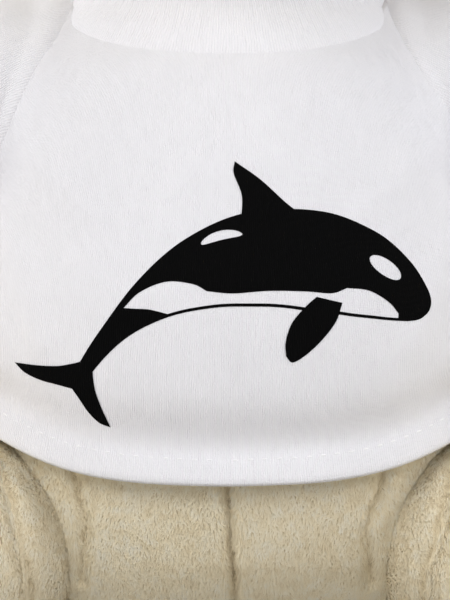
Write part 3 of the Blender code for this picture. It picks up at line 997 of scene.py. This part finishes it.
hemStitches = sewHem()
cuffStitches = {side: sewCuff(side, word) for side, word in sides}


# The print: a leaping orca drawn from the animal's own plan, as a thin film of ink on the front

orca = {
    "centre": (-0.5, 72.0),
    "spine": [(-25, -13.5), (-12, 7), (14, 13.5), (36, -3.5)],
    # each place below is a share of the spine from tail to snout, and a height off it
    "back": [(0, 1.3), (0.12, 2.2), (0.25, 4.2), (0.4, 6.8), (0.55, 8.6), (0.7, 9.0), (0.82, 7.9),
             (0.91, 5.7), (0.965, 3.5), (0.985, 2.4), (0.996, 1.3), (1, 0.3)],
    "belly": [(0, 1.3), (0.12, 2.0), (0.25, 3.7), (0.4, 6.1), (0.55, 7.8), (0.7, 8.3), (0.82, 7.4),
              (0.91, 5.6), (0.965, 3.7), (0.985, 2.6), (0.996, 1.5), (1, 0.4)],
    "lobe": [(0.235, -1.0), (0.205, 0.7), (0.185, 2.0)],
    "lobeTop": [(0.185, 2.0), (0.24, 2.4), (0.31, 1.5), (0.37, -0.9), (0.40, -3.0)],
    "flank": [(0.40, -3.0), (0.47, -4.7), (0.58, -5.2), (0.69, -5.0), (0.765, -4.4), (0.80, -2.8)],
    "chin": [(0.80, -2.8), (0.855, -1.9), (0.91, -2.2), (0.95, -3.2)],
    "finFront": [(0.675, 7.5), (0.63, 9.6), (0.575, 14.0), (0.53, 17.6)],
    "finRear": [(0.53, 17.6), (0.525, 15.6), (0.535, 11.5), (0.525, 7.0)],
    "paddleFront": [(0.80, -5.5), (0.80, -9.0), (0.77, -13.2), (0.72, -16.4), (0.675, -17.6), (0.645, -16.6)],
    "paddleRear": [(0.645, -16.6), (0.64, -14.0), (0.66, -10.6), (0.70, -7.4), (0.725, -5.6)],
    # the flukes' edges: how far across from the tail stock, and how far behind its end
    "flukeFront": [(1.6, -0.93), (2.8, 0.372), (4.4, 1.86), (7.4, 3.844), (10.9, 5.828)],
    "flukeRear": [(10.9, 5.828), (8.4, 6.262), (5.4, 5.704), (2.6, 4.65), (0.0, 3.72)],
    "farFluke": 0.86,  # the far fluke is foreshortened
    "contour": 0.55,
    "film": 0.07,
    "layer": 0.012,
    "cell": 1.1,
}


def throughPoints(points, steps=9):
    points = np.array(points, float)  # a smooth line through the points, open at both ends
    padded = np.concatenate([2 * points[:1] - points[1:2], points, 2 * points[-1:] - points[-2:-1]])
    t = np.linspace(0, 1, steps, endpoint=False)[:, None]
    parts = []
    for a, b, c, d in zip(padded, padded[1:], padded[2:], padded[3:]):
        bend = (2 * a - 5 * b + 4 * c - d) * t ** 2 + (3 * b - a - 3 * c + d) * t ** 3
        parts.append(0.5 * (2 * b + (c - a) * t + bend))
    return np.concatenate(parts + [points[-1:]])


def onOrca(share, offset):
    share, offset = np.atleast_1d(np.asarray(share, float)), np.atleast_1d(offset)
    t = share[:, None]
    a, b, c, d = (np.array(p, float) for p in orca["spine"])
    point = a * (1 - t) ** 3 + 3 * b * t * (1 - t) ** 2 + 3 * c * t * t * (1 - t) + d * t ** 3
    along = unitRows(3 * (b - a) * (1 - t) ** 2 + 6 * (c - b) * t * (1 - t) + 3 * (d - c) * t * t)
    up = np.stack([-along[:, 1], along[:, 0]], 1)
    return point + up * offset[:, None]


def orcaLine(name):
    return throughPoints(onOrca(*np.array(orca[name]).T))


def orcaFluke(sign):
    stock = np.array(orca["spine"][0], float)
    rear = unitRows(stock - np.array(orca["spine"][1], float))
    side = np.array([rear[1], -rear[0]]) * sign
    spread = 1.0 if sign > 0 else orca["farFluke"]

    def edge(name):
        return [stock + side * across * spread + rear * behind for across, behind in orca[name]]

    front = throughPoints([stock - rear * 1.6 + side * 1.2] + edge("flukeFront"))
    return np.concatenate([front, throughPoints(edge("flukeRear"))[1:], [stock - rear * 2.0]])


def orcaOutlines():
    back, belly = smoothTable(orca["back"]), smoothTable(orca["belly"])
    share = np.sin(np.linspace(0, math.pi / 2, 110))  # closer together towards the snout
    top = onOrca(share, np.interp(share, *back))
    bottom = onOrca(share, -np.interp(share, *belly))
    lower = np.linspace(0.95, 0.27, 50)
    whiteLower = onOrca(lower, -np.interp(lower, *belly) + orca["contour"])
    lobe = throughPoints(np.concatenate([whiteLower[-1:], onOrca(*np.array(orca["lobe"]).T)]))
    upper = [orcaLine(name)[1:] for name in ("lobeTop", "flank", "chin")]
    white = np.concatenate([whiteLower, lobe[1:]] + upper)[:-1]
    turn = np.linspace(0, 2 * math.pi, 40, endpoint=False)
    eye = onOrca(0.868 + 0.041 * np.cos(turn), 2.9 + 1.35 * np.sin(turn) - 0.5 * np.cos(turn))
    saddle = onOrca(0.475 + 0.05 * np.cos(turn), 5.5 + 0.8 * np.sin(turn) - 0.5 * np.cos(turn) ** 2)
    outlines = {"body": [np.concatenate([top, bottom[::-1]]), white, eye, saddle]}
    for name in ("fin", "paddle"):
        outlines[name] = [np.concatenate([orcaLine(name + "Front"), orcaLine(name + "Rear")[1:]])]
    outlines.update({"flukeLeft": [orcaFluke(1)], "flukeRight": [orcaFluke(-1)]})
    return outlines


def filledShape(name, loops):
    curve = bpy.data.curves.new(name, "CURVE")
    curve.dimensions, curve.fill_mode = "2D", "FRONT"
    for loop in loops:
        spline = curve.splines.new("POLY")
        spline.points.add(len(loop) - 1)
        rows = np.column_stack([loop * mm, np.zeros(len(loop)), np.ones(len(loop))])
        spline.points.foreach_set("co", rows.ravel())
        spline.use_cyclic_u = True
    activate(addObject(name, curve))
    bpy.ops.object.convert(target="MESH")
    return bpy.context.object


def cutInCells(film):  # small cells, so that the film can follow the cloth
    reach = np.abs(np.array([v.co[:2] for v in film.verts])).max() / mm + orca["cell"]
    for axis in (Vector((1, 0, 0)), Vector((0, 1, 0))):
        for place in np.arange(-reach, reach, orca["cell"]):
            parts = film.verts[:] + film.edges[:] + film.faces[:]
            bmesh.ops.bisect_plane(film, geom=parts, plane_co=axis * place * mm, plane_no=axis)
    bmesh.ops.triangulate(film, faces=film.faces[:])


def makePrint():
    films = []
    for layer, (name, loops) in enumerate(orcaOutlines().items()):
        film = filledShape(name, loops)
        changeMesh(film.data, cutInCells)
        placed = []
        for x, z, _ in meshPoints(film.data):
            start = Vector((x + orca["centre"][0], -150, z + orca["centre"][1])) * mm
            hit, normal, _, _ = shirtTree.ray_cast(start, Vector((0, 1, 0)))
            placed.append((hit + normal * (orca["film"] + orca["layer"] * layer) * mm) / mm)
        placed = np.array(placed)
        setMeshPoints(film.data, placed)
        setUv(film, "cloth", np.stack([roundPlaces(placed), placed[:, 2]], 1))
        films.append(film)
    clearSelection()
    for film in films:
        film.select_set(True)
    bpy.context.view_layer.objects.active = films[0]
    bpy.ops.object.join()
    whole = bpy.context.object
    whole.name = whole.data.name = "tshirt_print"
    whole.data.shade_smooth()
    return whole


orcaPrint = finishPiece(makePrint(), ink)
print("print", len(orcaPrint.data.polygons))


# Face and soles

eyeForm = {"radius": 4.8}
noseForm = {"centre": (0, -63.4, 166), "half": (8.2, 5, 5.6), "taper": 0.3}


def makeEye(word):
    low, high = (np.array(c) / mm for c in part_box("eye_" + word))
    centre = Vector(((low[0] + high[0]) / 2, low[1] + eyeForm["radius"], (low[2] + high[2]) / 2)) * mm
    bpy.ops.mesh.primitive_uv_sphere_add(segments=48, ring_count=32, radius=eyeForm["radius"] * mm)
    bpy.context.object.location = centre
    bpy.context.object.rotation_euler = (math.pi / 2, 0, 0)
    eye = setInPlace(bpy.context.object, "safety_eye_" + word)
    eye.data.shade_smooth()
    return finishPiece(eye, blackPlastic, ["eye_" + word])


def makeNose():
    centre = Vector(noseForm["centre"]) * mm
    bpy.ops.mesh.primitive_uv_sphere_add(segments=48, ring_count=32, radius=1, location=centre)
    nose = bpy.context.object
    nose.scale = Vector(noseForm["half"]) * mm
    setInPlace(nose, "moulded_nose")
    points = meshPoints(nose.data)
    middle, half = np.array(noseForm["centre"]), np.array(noseForm["half"])
    up = (points[:, 2] - middle[2]) / half[2]
    points[:, 0] *= 1 + noseForm["taper"] * up
    for side, _ in sides:  # two shallow nostrils, low on the front
        apart = np.hypot(points[:, 0] - side * 2.7, points[:, 2] - middle[2] + 1.4)
        points[:, 1] += np.where(points[:, 1] < middle[1], 0.9 * bump(apart, 1.2), 0)
    setMeshPoints(nose.data, points)
    nose.data.shade_smooth()
    return finishPiece(nose, blackPlastic, ["nose"])


mouthForm = {
    "top": 160.5, "fork": 154.5, "reach": 8.5, "drop": 1.6,
    "step": 2.0, "strand": 0.85, "stitch": 2.9, "proud": 1.15,
}


def sewMouth():  # one strand down from the nose, then a shallow curve to each side
    tree = treeOf(skins["muzzle"])
    fork = mouthForm["fork"]
    paths = [[(0, z) for z in np.arange(mouthForm["top"], fork, -mouthForm["step"])] + [(0, fork)]]
    for side, _ in sides:
        curve = [(t, fork - mouthForm["drop"] * math.sin(math.pi * 0.85 * t)) for t in np.linspace(0, 1, 5)]
        paths.append([(side * mouthForm["reach"] * t, z) for t, z in curve])
    places, alongs, outwards = [], [], []
    for path in paths:
        for (x0, z0), (x1, z1) in zip(path, path[1:]):
            middle = Vector(((x0 + x1) / 2, -120, (z0 + z1) / 2)) * mm
            hit, normal, _, _ = tree.ray_cast(middle, Vector((0, 1, 0)))
            places.append(np.array(hit) / mm + np.array(normal) * mouthForm["proud"])
            alongs.append((x1 - x0, -0.35 * abs(x0 + x1) / 20 * (z1 - z0), z1 - z0))
            outwards.append(tuple(normal))
    places, alongs, outwards = np.array(places), np.array(alongs), np.array(outwards)
    mouth = sewLine("stitched_mouth", places, alongs, outwards, mouthForm["stitch"], mouthForm["strand"], 0)
    return finishPiece(mouth, brownThread)


eyes = [makeEye(word) for _, word in sides]
nose = makeNose()
mouth = sewMouth()

soleForm = {
    "wide": 18.5 * 0.86, "tall": 23.5 * 0.86, "height": 27.5, "start": 82.6, "end": 86.9,
    "rings": [(0.985, 0.28), (0.975, 0.12), (0.96, -0.05), (0.955, -0.14), (0.95, 0.0), (0.9, 0.1),
              (0.85, 0.12), (0.75, 0.1), (0.6, 0.08), (0.4, 0.03)],
    "stitches": 58, "stitch": 1.5, "strand": 0.3, "sink": 0.12, "inset": 1.7,
}


def makeSole(side, word):
    along = Vector(legLine(side))
    hip = Vector((legForm["hip"][0] * side, legForm["hip"][1], 0))
    thick = soleForm["end"] - soleForm["start"]
    place = (hip + along * soleForm["start"] + Vector((0, 0, soleForm["height"]))) * mm
    bpy.ops.mesh.primitive_circle_add(vertices=96, radius=1, fill_type="NGON", location=place)
    sole = bpy.context.object
    sole.rotation_mode = "QUATERNION"
    sole.rotation_quaternion = along.to_track_quat("Z", "Y")
    sole.scale = (soleForm["wide"] * mm, soleForm["tall"] * mm, mm)
    setInPlace(sole, "sole_pad_" + word)
    bpy.ops.object.mode_set(mode="EDIT")
    bpy.ops.mesh.select_all(action="SELECT")
    bpy.ops.mesh.extrude_region_move(TRANSFORM_OT_translate={"value": along * (thick - 0.5) * mm})
    for share, rise in soleForm["rings"]:  # each ring is the last one made smaller and lifted
        bpy.ops.mesh.extrude_region_move(TRANSFORM_OT_translate={"value": along * rise * mm})
        bpy.ops.transform.resize(value=(share, share, share), center_override=place)
        bpy.ops.transform.translate(value=along * (1 - share) * thick * mm)
    bpy.ops.mesh.poke()
    bpy.ops.mesh.select_all(action="SELECT")
    bpy.ops.mesh.normals_make_consistent(inside=False)
    bpy.ops.object.mode_set(mode="OBJECT")
    sole.data.shade_smooth()
    finishPiece(sole, suede, ["sole_" + word])
    turn = np.arange(soleForm["stitches"]) / soleForm["stitches"] * 2 * math.pi
    across, up = np.array([-along[1] * side, along[0] * side, 0]), np.array([0, 0, 1])
    wide, tall = (np.cos(turn), soleForm["wide"]), (np.sin(turn), soleForm["tall"])
    rim = np.array(hip + along * (soleForm["end"] + 0.03)) + up * soleForm["height"]
    for axis, (part, reach) in ((across, wide), (up, tall)):
        rim = rim + axis * (part * (reach - soleForm["inset"]))[:, None]
    alongs = np.roll(rim, -1, 0) - np.roll(rim, 1, 0)
    form = (soleForm[k] for k in ("stitch", "strand", "sink"))
    seam = sewLine("sole_stitches_" + word, rim, alongs, np.broadcast_to(np.array(along), rim.shape), *form)
    return sole, finishPiece(seam, tanThread)


soles = {word: makeSole(side, word) for side, word in sides}
print("face and soles ready")


# The pile: short tufts that lie along the plush, as one or two meshes of blades for each skin

coat = {
    "length": 2.0,
    "width": 0.36,
    "density": 4.4,
    "closeLength": 1.3,
    "closeWidth": 0.17,
    "closeDensity": 18,
    "lift": 13,
    "rootLift": 16,
    "tipDroop": 14,
    "tone": 0.66,
    "seamPaintedShade": 0.35,
    "sparse": 0.4,
    "clear": -0.2,
    "patch": 0.003,
}
snout = np.array([0, -70.0, 160])


def downLie(points, normals):
    return np.broadcast_to(np.array([0, 0, -1.0]), points.shape)


def headLie(points, normals):
    return unitRows(points - snout) + np.array([0, 0.2, -0.35])


def earLie(points, normals):
    return unitRows(points - np.array([0, -6.0, 171.0]))


def armLie(side):
    def lie(points, normals):
        t, _ = alongArm(points, side)
        return armLine(t, side)[1] + np.array([0, 0, -0.3])
    return lie


def legLie(side):
    def lie(points, normals):
        return 0.55 * legLine(side) + np.array([0, 0, -1.0])
    return lie


def underShirt(points):
    angle = torsoAngle(points)
    return (points[:, 2] > hemHeight(angle) + 6) & (points[:, 2] < neckHeight(angle) + 2)


def graded(far, close, fine):
    return coat[far] + (coat[close] - coat[far]) * fine


def sampleSkin(mesh, random, close):
    mesh.calc_loop_triangles()
    corners = np.empty(len(mesh.loop_triangles) * 3, np.int64)
    mesh.loop_triangles.foreach_get("vertices", corners)
    corners = corners.reshape(-1, 3)
    points, normals = meshPoints(mesh), meshNormals(mesh)
    a, b, c = (points[corners[:, k]] for k in range(3))
    area = 0.5 * np.linalg.norm(np.cross(b - a, c - a), axis=1)
    middle = (a + b + c) / 3
    inFront = np.stack([-14 - middle[:, 1], 54 - np.abs(middle[:, 0]), 29 - np.abs(middle[:, 2] - 34)]).min(0)
    fine = np.clip(inFront / 12, 0, 1) if close else np.zeros(len(area))  # the pile below the hem is finer
    density = graded("density", "closeDensity", fine) * 1
    share = np.cumsum(area * density)
    count = int(share[-1])
    picked = np.searchsorted(share, (np.arange(count) + random.random(count)) * share[-1] / count)
    picked = np.clip(picked, 0, len(area) - 1)
    u, v = random.random((2, count))
    over = u + v > 1
    u, v = np.where(over, 1 - u, u)[:, None], np.where(over, 1 - v, v)[:, None]
    roots = a[picked] + u * (b - a)[picked] + v * (c - a)[picked]
    na, nb, nc = (normals[corners[picked, k]] for k in range(3))
    return roots, unitRows(na + u * (nb - na) + v * (nc - na)), fine[picked]


def insideOf(points, tree, margin):
    inside = np.zeros(len(points), bool)
    for i, point in enumerate(points):
        place, normal, _, _ = tree.find_nearest(Vector(point) * mm)
        inside[i] = (Vector(point) * mm - place).dot(normal) < margin * mm
    return inside


def clearRoots(roots, near, hidden):  # no tufts where another piece covers the plush
    keep = np.ones(len(roots), bool) if hidden is None else ~hidden(roots)
    for other, margin in near:
        low, high = np.array(other.bound_box[0]) / mm - 1, np.array(other.bound_box[6]) / mm + 1
        candidates = np.flatnonzero(keep & ((roots > low) & (roots < high)).all(1))
        keep[candidates[insideOf(roots[candidates], treeOf(other), margin)]] = False
    return keep


def growCoat(node, lie, seed, near=(), fittings=(), hidden=None, close=False, halves=False):
    random = np.random.default_rng(seed)
    roots, normals, fine = sampleSkin(skins[node].data, random, close)
    keep = clearRoots(roots, [(skins[n], coat["clear"]) for n in near] + list(fittings), hidden)
    roots, normals, fine = roots[keep], normals[keep], fine[keep]
    count = len(roots)

    def uneven(size, step):
        return smoothNoise(roots, size, seed + step)

    lay = lie(roots, normals)
    lay = unitRows(lay - normals * (lay * normals).sum(1)[:, None] + 1e-6)
    sideways = np.cross(normals, lay)
    turn = (0.5 * uneven(1.7, 1) + 0.3 * uneven(9, 2) + 0.4 * random.standard_normal(count))[:, None]
    lay, sideways = lay * np.cos(turn) + sideways * np.sin(turn), sideways * np.cos(turn) - lay * np.sin(turn)
    lift = np.radians(coat["lift"] + 6 * uneven(1.6, 3) + 4 * random.standard_normal(count))
    length = 1 + 0.22 * uneven(3.4, 4) + 0.14 * random.standard_normal(count)
    length *= graded("length", "closeLength", fine)
    width = graded("width", "closeWidth", fine) * (0.8 + 0.4 * random.random(count))

    def blade(angle, share):
        return (lay * np.cos(angle)[:, None] + normals * np.sin(angle)[:, None]) * (length * share)[:, None]

    start = roots - normals * 0.1
    middle = roots + blade(lift + math.radians(coat["rootLift"]), 0.52)
    tip = middle + blade(lift - math.radians(coat["tipDroop"]), 0.48)
    roll = 0.25 * random.standard_normal(count)[:, None]
    across = (sideways * np.cos(roll) + normals * np.sin(roll)) * (width / 2)[:, None]
    narrow = across * 0.85
    points = np.stack([start - across, start + across, middle - narrow, middle + narrow, tip], 1)
    points[..., 2] = np.maximum(points[..., 2], 0.15)
    left, right = normals - 0.15 * sideways, normals + 0.15 * sideways  # rounded across and towards the tip
    shade = np.stack([left, right, left + 0.1 * lay, right + 0.1 * lay, normals + 0.2 * lay], 1)
    tone = coat["tone"] + 0.22 * uneven(1.0, 5) + 0.1 * uneven(8, 6) + 0.06 * random.standard_normal(count)
    # painted shade: the pile's tone darkens along the seams and creases in front
    tone -= coat["seamPaintedShade"] * bump(seamDistance(roots), 0.7)
    # painted shade at each tuft's root and painted light at its tip
    tones = tone[:, None] + np.array([-0.08, -0.08, 0.0, 0.0, 0.06])
    parts = {"": np.ones(count, bool)}
    if halves:  # two meshes keep each of them small
        first = roots[:, 0] >= np.median(roots[:, 0])
        parts = {"_one": first, "_two": ~first}
    for word, part in parts.items():
        makeTufts("pile_" + node + word, roots[part], points[part], shade[part], tones[part])


def makeTufts(name, roots, points, shade, tones):
    count = len(roots)
    index = np.arange(count)[:, None, None] * 5
    faces = (index + np.array([[0, 3, 1], [0, 2, 3], [2, 4, 3]])).reshape(-1, 3)
    mesh = bpy.data.meshes.new(name)
    mesh.vertices.add(count * 5)
    mesh.vertices.foreach_set("co", (points * mm).ravel())
    mesh.loops.add(len(faces) * 3)
    mesh.loops.foreach_set("vertex_index", faces.ravel())
    mesh.polygons.add(len(faces))
    mesh.polygons.foreach_set("loop_start", np.arange(len(faces)) * 3)
    mesh.update(calc_edges=True)
    mesh.shade_smooth()
    layer = mesh.attributes.new("tone", "FLOAT", "POINT")
    layer.data.foreach_set("value", np.clip(tones, 0, 1).astype(np.float32).ravel())
    middle = points.reshape(-1, 3).mean(0)
    around = np.arctan2(roots[:, 1] - middle[1], roots[:, 0] - middle[0]) / (2 * math.pi) + 0.5
    heights = roots[:, 2] - roots[:, 2].min()
    uvRoot = np.stack([0.02 + 0.96 * around, 0.02 + 0.96 * heights / max(heights.max(), 1)], 1)
    patch = coat["patch"] * np.array([[-0.5, 0], [0.5, 0], [-0.42, 0.5], [0.42, 0.5], [0, 1]])
    piece = addObject(name, mesh)
    setUv(piece, "OFBake", (uvRoot[:, None] + patch[None]).reshape(-1, 2))
    mesh.normals_split_custom_set_from_vertices(unitRows(shade.reshape(-1, 3)))
    print("coat", name, count, "tufts", len(faces), "triangles")
    finishPiece(piece, pile)


def inSleeve(side):
    return lambda points: alongArm(points, side)[0] < 0.50


def growAllCoats():
    eyeRims = [(eye, 0.2) for eye in eyes]
    seen = {"close": True, "halves": True}  # the torso and legs are near the camera
    growCoat("torso", downLie, 10, ("leg_left", "leg_right", "tail"), hidden=underShirt, **seen)
    growCoat("head", headLie, 20, ("torso", "muzzle", "ear_left", "ear_right"), eyeRims, halves=True)
    growCoat("muzzle", headLie, 30, ("head",), [(nose, 0.3)])
    growCoat("tail", downLie, 40, ("torso",))
    for side, word in sides:
        growCoat("ear_" + word, earLie, 50 + side, ("head",))
        growCoat("arm_" + word, armLie(side), 60 + side, ("torso",), hidden=inSleeve(side))
        growCoat("leg_" + word, legLie(side), 70 + side, ("torso",), [(soles[word][0], 0.1)], **seen)


growAllCoats()
for node, skin in skins.items():
    finishPiece(skin, backing, [node])
